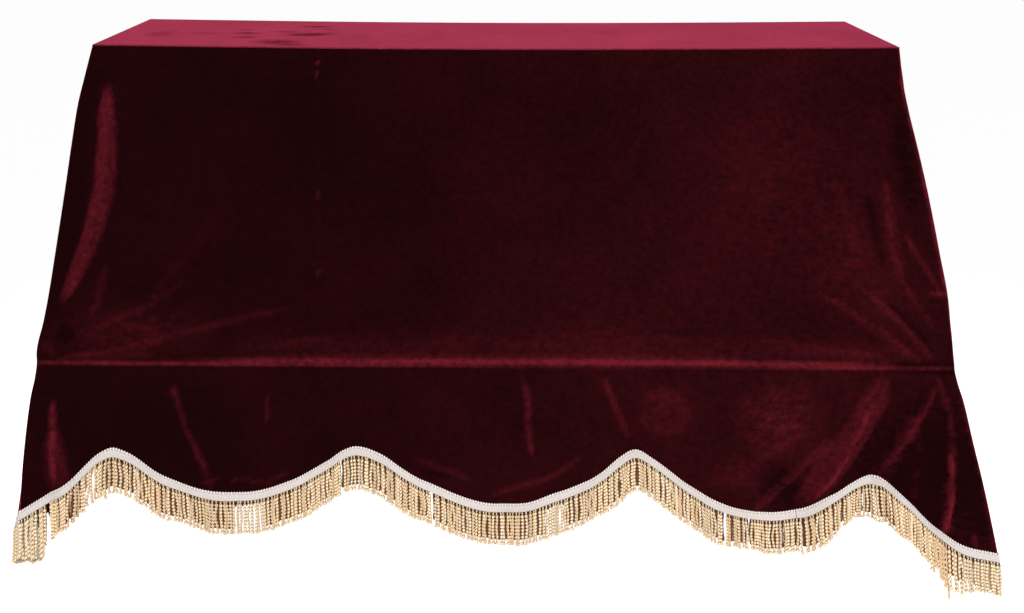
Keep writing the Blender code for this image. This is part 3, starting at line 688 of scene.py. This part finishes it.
def velvet_panel(name, node, columns, rows, at, finish):
    """A fine sheet that hangs in its places.

    at(column, row) gives the corner there, how pale its wear and its painted light and shade make
    it, and how strongly its brush strokes show, which painted light patches also raise or lower.
    """
    work = bmesh.new()
    painted_light_and_wear = work.verts.layers.float.new("painted_light_and_wear")
    brushing_and_painted_light = work.verts.layers.float.new("brushing_and_painted_light")
    for corner, i, j in numbered_grid(work, len(columns) - 1, len(rows) - 1):
        corner.co, corner[painted_light_and_wear], corner[brushing_and_painted_light] = at(columns[i], rows[j])
    work.normal_update()
    for corner in work.verts:
        # painted light: corners where the cloth faces up are painted paler, as light from above
        # makes them
        corner[painted_light_and_wear] += PAINTED_LIGHT_FACING_UP * ease((corner.normal.z - 0.60) / 0.35)
    panel = piece_of(work, name, finish)
    body = panel.modifiers.new("cloth", "SOLIDIFY")
    body.thickness = CLOTH - THINNER
    body.offset = -1.0
    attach(panel, "root")
    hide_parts(node)
    return panel


SEAM_ROLL = 0.0035  # how near to a seam the cloth starts to roll under
SEAM_TUCK = 0.0012  # how deep it rolls
SEAM_LAP = 0.0014  # how far into the front's or the back's cloth a side's edge is sewn
SEAM_STOPS = (0.0, 0.001, 0.002, 0.0035, 0.006)  # where rows of corners run along a seam
PAINTED_EDGE_SHADE = -0.6  # how dark the top's edges are painted where they roll into the seams: painted shade
PAINTED_EDGE_SHADE_WIDTH = 0.006
TOP_WAVES = 0.6  # how much of the cloth's unevenness the flat top keeps
TOP_FINENESS = 1.6  # and how much finer it is there
TOP_BRUSHED = 0.15
BACK_BRUSHED = 0.10


def seam_tuck(distance):
    """How far the cloth has rolled under, this near to a seam."""
    near = min(max(1.0 - distance / SEAM_ROLL, 0.0), 1.0)
    return SEAM_TUCK * near * near


def marks_at(place, drop):
    """How much paler the pile is painted at a place, by the painted light and shade of its
    creases, the right half and the patches, and how strongly its brush strokes show.
    """
    brushing_and_painted_light = sum(strength * bump((place - centre) / wide) * bump((drop - centre_drop) / high)
                  for centre, centre_drop, wide, high, strength in PAINTED_LIGHT_AND_BRUSHING)
    paler = PAINTED_LIGHT_SWEEP * ease((place - PALE_START) / PALE_RUN)
    return creases_at(place, drop)[1] + paler + PATCH_PALER * brushing_and_painted_light, brushing_and_painted_light


def top_velvet(finish):
    """The flat top, its edges rolled into the seams and painted darker along them as shade."""
    half_width = TOP_WIDTH / 2
    half_depth = TOP_DEPTH / 2

    def stops(half):
        return [d - half for d in SEAM_STOPS] + [half - d for d in SEAM_STOPS[::-1]]

    xs = steps(stops(half_width), 0.008)
    ys = [-y for y in steps(stops(half_depth), 0.007)]

    def at(x, y):
        edge = min(half_width - abs(x), half_depth - abs(y))
        point = Vector((x, y, edge_height(x) + CLOTH))
        uneven = TOP_WAVES * waves(point * TOP_FINENESS) * ease(edge / EDGE_FADE)
        point.z += uneven - seam_tuck(edge)
        # painted shade along the rolled edges, and the marks in the pile; the painted light that
        # velvet_panel gives every upturned corner is taken off again
        painted_light_and_wear_part = PAINTED_EDGE_SHADE * bump(edge / PAINTED_EDGE_SHADE_WIDTH)
        marks = sum(dark * bump((x - mark_x) / long) * bump((y - mark_y) / wide)
                    for mark_x, mark_y, long, wide, dark in TOP_MARKS)
        return point, painted_light_and_wear_part - marks - PAINTED_LIGHT_FACING_UP, TOP_BRUSHED

    return velvet_panel("top_velvet", "top_panel", xs, ys, at, finish)


# the rows of the hanging cloth, as drops down to the skirt and then as shares of it
UPPER_ROWS = steps([*SEAM_STOPS, 0.425, 0.495, SHELF_DROP], 0.0058)
SKIRT_ROWS = steps([0.0, 1.0], 1.0 / 34)[1:]
FALL_ROWS = range(len(UPPER_ROWS) + len(SKIRT_ROWS) + 2)


def row_drop(place, row):
    """The drop of a row of the hanging cloth in the column at a place."""
    if row < len(UPPER_ROWS):
        return UPPER_ROWS[row]
    braid = braid_drop(place)
    row -= len(UPPER_ROWS)
    if row < len(SKIRT_ROWS):
        return SHELF_DROP + SKIRT_ROWS[row] * (braid - SHELF_DROP)
    return braid + BRAID_HEIGHT / 2 * (row - len(SKIRT_ROWS) + 1)


HALF_FRONT = 0.8  # metres to one step of round across the front
SIDE_DEPTH = 0.4  # and across a side, near its front seam
SEAM_NEXT = 0.02  # how far in from its seam a side shows which way it runs


def front_velvet(finish):
    """The front: down the slope, over the shelf's edge and on as a scalloped skirt."""
    places = steps((-1.0, -0.998, -0.994, 0.994, 0.998, 1.0), 2.0 / 330)

    def at(place, row):
        drop = row_drop(place, row)
        point = front_point(place, drop)
        side = 1.0 if place > 0.0 else -1.0
        tuck = seam_tuck((1.0 - abs(place)) * HALF_FRONT)
        point.y += seam_tuck(drop)
        point.y += tuck
        point.x -= side * tuck * 0.5
        return point, *marks_at(place, drop)

    return velvet_panel("front_velvet", "front_panel", places, FALL_ROWS, at, finish)


def side_velvet(side, name, node, finish):
    """A side: its edges are sewn into the front and the back."""
    backs = steps((1.0, 1.004, 1.012, 1.99, 2.0), 1.0 / 110)[::side]

    def at(back, row):
        drop = row_drop(side * back, row)
        point = side_point(side, back, drop)
        if back == 1.0 or back == 2.0:
            inner = side_point(side, back + (SEAM_NEXT if back == 1.0 else -SEAM_NEXT), drop)
            away = (inner - point).normalized()
            depth = max(abs(away.y), 0.5) if back == 1.0 else 1.0
            point += away * SEAM_LAP / depth
        point.x -= side * (seam_tuck(drop) + seam_tuck((back - 1.0) * SIDE_DEPTH))
        return point, *marks_at(side * back, drop)

    return velvet_panel(name, node, backs, FALL_ROWS, at, finish)


HEM_LINE = 0.15  # how much paler the pile is along the line that the back's turned hem leaves
HEM_LINE_AT = 0.97  # where it runs, as a share of the fall


def back_velvet(finish):
    """The plain back, with a straight hem between the ends of the side hems."""
    places = steps((-1.0, -0.99, 0.99, 1.0), 2.0 / 150)[::-1]
    left_hem = braid_drop(-2.0) + BRAID_HEIGHT
    right_hem = braid_drop(2.0) + BRAID_HEIGHT
    rows = steps([0.0, 0.004, 0.02, 1.0], 1.0 / 70)

    def at(place, share):
        drop = (left_hem + (right_hem - left_hem) * (place + 1.0) / 2.0) * share
        point = back_point(place, drop)
        point.y -= seam_tuck(drop)
        return point, HEM_LINE * bump((share - HEM_LINE_AT) / 0.01), BACK_BRUSHED

    return velvet_panel("back_velvet", "back_panel", places, rows, at, finish)


# ---- the braid ----
BRAID_STEP = 0.00125  # how far apart the braid's columns of corners are
PICOT_PITCH = 0.0050  # from one loop of its upper edge to the next
PICOT_HEIGHT = 0.0022
PICOT_DIP = 0.0004  # how much thinner the edge is between two loops
STITCH_PITCH = 0.0075
STITCH_DENT = 0.0005
CORD_PITCH = 0.0062
CORD_LIFT = 0.00025  # how far each cord's head raises the ridge
PICOT_ROWS = 3  # the section's first rows are the loops
STITCH_ROW = 3
RIDGE_ROWS = (8, 9, 10)
END_INSET = 0.0004  # what parts the two lengths of braid
# down from the upper edge, out from the velvet: the face from top to bottom, then the back
BRAID_SECTION = (
    (0.0004, 0.0008), (0.0012, 0.0017), (0.0022, 0.0019), (0.0032, 0.0012), (0.0044, 0.0017),
    (0.0072, 0.0020), (0.0100, 0.0018), (0.0116, 0.0012), (0.0130, 0.0019), (0.0150, 0.0022),
    (0.0168, 0.0018), (0.0179, 0.0009), (0.0174, 0.0003), (0.0010, 0.0003),
)


def hem_walk(low, high):
    """The places along the hem from low to high, with the length walked to each."""
    count = max(2, round((high - low) * 700))
    places = [low + (high - low) * i / count for i in range(count + 1)]
    points = [cover_point(place, braid_drop(place)) for place in places]
    walked = [0.0]
    for a, b in zip(points, points[1:]):
        walked.append(walked[-1] + (b - a).length)
    return places, walked


def place_after(places, walked, length):
    """The place that lies this length along a walk."""
    i = min(max(bisect.bisect_right(walked, length), 1), len(walked) - 1)
    share = (length - walked[i - 1]) / (walked[i] - walked[i - 1])
    return places[i - 1] + (places[i] - places[i - 1]) * share


def woven_braid(name, low, high, node, finish):
    """A flat braid with a looped upper edge, a row of stitches and a ridge that holds cords."""
    places, walked = hem_walk(low, high)
    count = int(walked[-1] / BRAID_STEP)
    size = len(BRAID_SECTION)
    work = bmesh.new()
    stitch = work.verts.layers.float.new("stitch")
    uv = work.loops.layers.uv.new("weave")
    columns = {}
    for corner, column, row in numbered_grid(work, count, size):
        columns.setdefault(column, []).append((row, corner))
    lengths = {}
    for column, corners in columns.items():
        length = walked[-1] * column / count
        inset = END_INSET if column in (0, count) else 0.0
        place = place_after(places, walked, min(max(length, inset), walked[-1] - inset))
        drop = braid_drop(place)
        outward = outward_at(place, drop + BRAID_HEIGHT / 2)
        upper = cover_point(place, drop)
        lower = cover_point(place, drop + BRAID_HEIGHT)
        middle = cover_point(place, drop + BRAID_HEIGHT / 2)
        loop = 0.5 - 0.5 * math.cos(2.0 * math.pi * length / PICOT_PITCH)
        sewn = bump(((length / STITCH_PITCH + 0.5) % 1.0 - 0.5) / 0.25)
        head = math.cos(2.0 * math.pi * length / CORD_PITCH)
        bow = middle - (upper + lower) / 2
        for row, corner in corners:
            lengths[corner] = (length, row / size)
            row %= size
            down, out = BRAID_SECTION[row]
            if row < PICOT_ROWS:
                down -= PICOT_HEIGHT * loop
                out -= PICOT_DIP * (1.0 - loop)
                corner[stitch] = 0.60 * (1.0 - loop) ** 3 - loop
            elif row == STITCH_ROW:
                out -= STITCH_DENT * sewn
                corner[stitch] = 0.10 + 0.85 * sewn
            elif row in RIDGE_ROWS:
                out += CORD_LIFT * head
            share = down / BRAID_HEIGHT
            point = upper.lerp(lower, share) + bow * 4.0 * share * (1.0 - share)
            corner.co = point + outward * (out + GAP)
    for face in work.faces:
        for loop in face.loops:
            length, turn = lengths[loop.vert]
            loop[uv].uv = (length * 100.0, turn)
    bmesh.ops.remove_doubles(work, verts=work.verts, dist=1e-6)
    ends = [edge for edge in work.edges if edge.is_boundary]
    bmesh.ops.holes_fill(work, edges=ends, sides=size + 2)
    bmesh.ops.recalc_face_normals(work, faces=work.faces)
    braid = piece_of(work, name, finish)
    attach(braid, "root")
    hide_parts(node)
    return braid


# ---- the fringe ----
CORD_PLIES = 3
CORD_RADIUS = 0.0092  # out to the crown of a bead, before the cord is rounded
CORD_WAIST = 0.38  # how thin it is between two beads, as a share
CORD_RINGS = 20  # two rings to each bead of the twist
CORD_NECK = 0.55  # how much thinner the cord is where the braid holds it
CORD_BUNCH = 0.5  # how far it may be sewn from its place, in half pitches
CORD_STRAY = 0.013  # how far a cord may hang aslant by chance
CORD_BOW = 0.0022  # how far it may bow aside
CORD_KINK = 0.0011  # how far it may be kinked
CORD_SWING = 0.0015  # how far its end may hang in or out
CORD_CHANCE = 0.0015  # how much longer or shorter it may be
CORD_SEWN = 0.0022  # how far its head goes up behind the braid, and out or in
FRINGE_UNEVEN = 0.0022  # how far the fringe's lower edge rises and falls
# the cords behind the face cords are painted dark all over: they stand in for the shade between
# the cords
SHADE_CORD_SHORTER = 0.008
SHADE_CORD_PLIES = 4
SHADE_CORD_RINGS = 5
SHADE_CORD_RADIUS = 0.0072
SHADE_CORD_WAIST = 0.8
SHADE_CORD_HEAD = 0.22  # how long the cords of painted shade are behind the palest ones, as a share
# missing cords, as (from, to) in round: daylight shows between the cords there
FRINGE_DAYLIGHT = ((-1.222, -1.208), (-0.946, -0.937), (-0.335, -0.328),
                   (-0.140, -0.133), (0.463, 0.468), (0.513, 0.517), (0.882, 0.886))
# cords that cross their neighbours: (from, to) in round, sideways lean at the start and end
FRINGE_TANGLES = ((-0.868, -0.848, -0.30, 0.35),)
TANGLED = [tangle[:2] for tangle in FRINGE_TANGLES]
# groups of paler cords: (from, to) in round
PALE_GROUPS = ((-1.240, -1.130), (-1.00, -0.955), (-0.560, -0.497), (0.10, 0.14),
               (0.93, 1.00))
# single longer cords: round, extra length
LONG_CORDS = ((-1.200, 0.024), (-1.192, 0.022), (-1.184, 0.017), (-1.176, 0.015),
              (-1.168, 0.009), (-1.160, 0.004), (-0.992, 0.009), (-0.985, 0.012),
              (-0.978, 0.016), (-0.970, 0.022), (-0.962, 0.028), (-0.956, 0.026),
              (0.622, 0.003), (0.877, 0.015), (0.892, 0.015), (0.900, 0.026), (0.907, 0.021),
              (0.914, 0.021), (0.922, 0.016), (0.930, 0.006), (0.938, 0.006), (0.946, 0.004))
LONG_CORD_NEAR = 0.0038  # how near to such a place a cord is the longer one, in round


def straight_cord(name, plies, rings, radius, waist):
    """One twisted cord of unit length that hangs from the origin."""
    work = bmesh.new()
    uv = work.loops.layers.uv.new("twist")
    bmesh.ops.create_circle(work, segments=plies, radius=radius * waist)
    edges = list(work.edges)
    turn = Matrix.Rotation(math.pi / plies, 3, "Z")
    for i in range(rings):
        swell = waist if i % 2 else 1.0 / waist
        made = bmesh.ops.extrude_edge_only(work, edges=edges)["geom"]
        ring = [item for item in made if isinstance(item, bmesh.types.BMVert)]
        edges = [item for item in made if isinstance(item, bmesh.types.BMEdge)]
        bmesh.ops.translate(work, verts=ring, vec=(0.0, 0.0, -1.0 / rings))
        bmesh.ops.rotate(work, verts=ring, cent=(0.0, 0.0, 0.0), matrix=turn)
        bmesh.ops.scale(work, verts=ring, vec=(swell, swell, 1.0))
    bmesh.ops.scale(work, verts=ring, vec=(1.0 / waist, 1.0 / waist, 1.0))
    bmesh.ops.holes_fill(work, edges=[e for e in work.edges if e.is_boundary], sides=plies)
    bmesh.ops.recalc_face_normals(work, faces=work.faces)
    for face in work.faces:
        centre = face.calc_center_median()
        middle = math.atan2(centre.y, centre.x)
        for loop in face.loops:
            spot = loop.vert.co
            angle = math.atan2(spot.y, spot.x)
            angle += 2.0 * math.pi * round((middle - angle) / (2.0 * math.pi))
            loop[uv].uv = (plies * angle / (2.0 * math.pi), spot.z * rings / 2)
    return mesh_of(work, name)


def in_any(place, groups):
    return any(start <= place <= end for start, end in groups)


def hung_cord(pattern, place, length, dice, layer):
    """One cord of the pattern, hung in its place under the braid."""
    work = bmesh.new()
    work.from_mesh(pattern)
    drop = braid_drop(place)
    head = cover_point(place, drop + BRAID_HEIGHT)
    above = cover_point(place, drop)
    outward = outward_at(place, drop + BRAID_HEIGHT / 2)
    line = (head - above) / (above.z - head.z)
    line = Vector((line.x * FRINGE_FLARE, line.y * FRINGE_FLARE, -1.0))
    sideways = Vector((-outward.y, outward.x, 0.0)).normalized()
    lean = 0.03 * noise.noise(Vector((place * 23.0, 0.0, 0.0)))
    in_pale = in_any(place, PALE_GROUPS)
    if layer == 0:
        lean += dice.uniform(-CORD_STRAY, CORD_STRAY)
        for start, end, first, last in FRINGE_TANGLES:
            if start <= place <= end:
                lean += first + (last - first) * (place - start) / (end - start)
    bow = dice.uniform(-CORD_BOW, CORD_BOW)
    kink = dice.uniform(-CORD_KINK, CORD_KINK)
    swing = dice.uniform(-CORD_SWING, CORD_SWING)
    shift = dice.uniform(-0.5, 0.5) * 2.0 / CORD_RINGS
    turn = Matrix.Rotation(dice.uniform(0.0, 2.0 * math.pi), 3, "Z")
    weight = dice.uniform(0.90, 1.10) * (1.05 if in_pale else 1.0)
    start = head - line * CORD_SEWN + outward * (-CORD_SEWN if layer else CORD_SEWN)
    painted_shade = work.verts.layers.float.new("painted_shade")
    pale = work.verts.layers.float.new("pale")
    tone = min(dice.uniform(0.0, 0.8) + 0.5 * in_pale, 1.0)
    for corner in work.verts:
        spot = turn @ corner.co
        share = -spot.z
        thick = weight * (1.0 - CORD_NECK * bump(max(share - 0.05, 0.0) / 0.10) * (1 - layer))
        aside = spot.x * thick + length * lean * share + bow * math.sin(math.pi * share)
        aside += kink * math.sin(3.0 * math.pi * share)
        out = spot.y * thick + swing * share
        corner.co = start + line * (share * length) + sideways * aside + outward * out
        hollow = 0.5 + 0.5 * math.cos(math.pi * CORD_RINGS * share)
        share += shift * ease(share / 0.22) * ease((1.0 - share) / 0.22)
        # painted shade in the waists between the beads; the cords of the row behind are painted
        # dark as the shade between the cords, less on their inner side
        corner[painted_shade] = 0.18 * hollow
        if layer:
            shade = 0.55 + 0.45 * bump(max(share * length / FRINGE_LENGTH - 0.1, 0.0) / 0.2)
            corner[painted_shade] = shade if spot.y > -0.3 * SHADE_CORD_RADIUS else 0.2
        corner[pale] = tone
    return mesh_of(work, "one_cord")


def corded_fringe(name, low, high, finish, seed):
    """A stretch of the fringe: twisted cords side by side before a row of cords painted dark,
    which stands in for the shade between them.
    """
    dice = random.Random(seed)
    patterns = (straight_cord("face_cord", CORD_PLIES, CORD_RINGS, CORD_RADIUS, CORD_WAIST),
                straight_cord("painted_shade_cord", SHADE_CORD_PLIES, SHADE_CORD_RINGS, SHADE_CORD_RADIUS,
                              SHADE_CORD_WAIST))
    places, walked = hem_walk(low, high)
    work = bmesh.new()
    count = int(walked[-1] / CORD_PITCH)
    for i in range(2 * count):
        layer = i % 2
        aside = 0.5 if layer else 0.5 + dice.uniform(-CORD_BUNCH, CORD_BUNCH)
        place = place_after(places, walked, (i + aside) * walked[-1] / (2 * count))
        if in_any(place, FRINGE_DAYLIGHT) or (layer and in_any(place, TANGLED)):
            continue
        fall = FRINGE_LENGTH + dice.uniform(-CORD_CHANCE, CORD_CHANCE)
        fall -= SHADE_CORD_SHORTER * layer
        fall += FRINGE_UNEVEN * math.sin(41.0 * place) * math.cos(17.0 * place)
        if layer and in_any(place, PALE_GROUPS):
            fall *= SHADE_CORD_HEAD
        if not layer:
            fall += sum(extra for spot, extra in LONG_CORDS if abs(place - spot) < LONG_CORD_NEAR)
        single = hung_cord(patterns[layer], place, fall, dice, layer)
        work.from_mesh(single)
        bpy.data.meshes.remove(single)
    fringe = piece_of(work, name, finish)
    rounded = fringe.modifiers.new("rounded", "SUBSURF")
    rounded.levels = 1
    rounded.render_levels = 1
    for pattern in patterns:
        bpy.data.meshes.remove(pattern)
    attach(fringe, "root")
    return fringe


# ---- floor, light and camera ----
FLOOR_HEIGHT = -1.25  # the lid of an upright piano stands about this high
FLOOR_REACH = 120.0  # how far the floor runs each way, so that no view sees its end


def lay_floor():
    """A plain pale floor."""
    work = bmesh.new()
    bmesh.ops.create_grid(work, x_segments=1, y_segments=1, size=FLOOR_REACH)
    bmesh.ops.translate(work, verts=work.verts, vec=(0.0, 0.0, FLOOR_HEIGHT))
    pale = bpy.data.materials.new("pale_floor")
    pale.use_nodes = True
    shader = pale.node_tree.nodes["Principled BSDF"]
    shader.inputs["Base Color"].default_value = (0.93, 0.93, 0.93, 1.0)
    shader.inputs["Roughness"].default_value = 0.9
    piece_of(work, "floor", pale)


def hang_light(name, kind, way, power):
    """A light of this kind that shines this way."""
    data = bpy.data.lights.new(name, kind)
    data.energy = power
    lamp = bpy.data.objects.new(name, data)
    lamp.rotation_euler = Vector(way).to_track_quat("-Z", "Y").to_euler()
    bpy.context.scene.collection.objects.link(lamp)
    return lamp


def soft_light(name, place, aim, size, power):
    """Light from a white square near the cover."""
    lamp = hang_light(name, "AREA", Vector(aim) - Vector(place), power)
    lamp.data.shape = "SQUARE"
    lamp.data.size = size
    lamp.location = place
    lamp.visible_camera = False


def light_scene():
    """Light from far off, softened as by a wide white sheet, with two fills and a pale room."""
    world = bpy.data.worlds.new("studio")
    world.use_nodes = True
    world.node_tree.nodes["Background"].inputs["Color"].default_value = (1.0, 1.0, 1.0, 1.0)
    world.node_tree.nodes["Background"].inputs["Strength"].default_value = 0.545
    bpy.context.scene.world = world
    bpy.context.scene.view_settings.view_transform = "Standard"
    ceiling = hang_light("studio_ceiling", "SUN", (-0.08, 0.62, -0.80), 2.1)
    ceiling.data.angle = math.radians(24.0)
    soft_light("front_fill", (0.4, -3.2, -0.1), (0.0, -0.5, -0.6), 1.2, 17.0)
    soft_light("floor_fill", (0.0, 0.0, -1.05), (0.0, 0.0, -2.0), 3.0, 26.0)


def stand_camera():
    """Before the middle of the cover, a little above its top, and looking down at it."""
    data = bpy.data.cameras.new("camera")
    data.sensor_width = 36.0
    data.lens = 36.39
    camera = bpy.data.objects.new("camera", data)
    camera.location = (0.0175, -2.1262, 0.3209)
    turn = Matrix.Rotation(math.radians(-0.373), 3, "Z")
    tilt = Matrix.Rotation(math.radians(90.0 - 23.244), 3, "X")
    roll = Matrix.Rotation(math.radians(0.2557), 3, "Z")
    camera.rotation_euler = (turn @ tilt @ roll).to_euler()
    bpy.context.scene.collection.objects.link(camera)
    bpy.context.scene.camera = camera


# ---- the cover ----
def make_cover():
    """The five panels, the braid and the fringe, each in the place of its solid."""
    velvet = velvet_finish("velvet", deep=(0.0080, 0.0012, 0.0016),
                           painted_light_and_wear=(0.105, 0.0080, 0.0140), base_paleness=0.015, mottle=1.0, sheen=0.85,
                           sheen_roughness=0.20, sheen_tint=(1.0, 0.09, 0.14))
    # the top is a copy of the velvet painted far paler than the hanging panels, as a painted
    # sheen and the light from above on the flat top; its marks are the pile's own
    painted_sheen_top_velvet = velvet_finish("velvet_top_painted_sheen", deep=(0.100, 0.008, 0.016),
                            painted_light_and_wear=(0.40, 0.042, 0.088), base_paleness=0.745, mottle=4.0, sheen=0.20,
                            sheen_roughness=0.30, sheen_tint=(1.0, 0.10, 0.18))
    braid = braid_finish()
    cord = cord_finish()
    top = top_velvet(painted_sheen_top_velvet)
    front = front_velvet(velvet)
    left = side_velvet(-1, "side_velvet_left", "side_panel_left", velvet)
    right = side_velvet(1, "side_velvet_right", "side_panel_right", velvet)
    back = back_velvet(velvet)
    braid_left = woven_braid("woven_braid_left", -2.0, BRAID_JOIN, "braid_left", braid)
    braid_right = woven_braid("woven_braid_right", BRAID_JOIN, 2.0, "braid_right", braid)
    side_cords = corded_fringe("fringe_cords_side_left", -2.0, -1.0, cord, 3)
    front_cords = corded_fringe("fringe_cords_front", -1.0, BRAID_JOIN, cord, 5)
    corner_cords = corded_fringe("fringe_cords_right", BRAID_JOIN, 2.0, cord, 8)
    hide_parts("fringe_left")
    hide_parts("fringe_left")
    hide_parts("fringe_right")


stand_camera()
lay_floor()
light_scene()
make_cover()
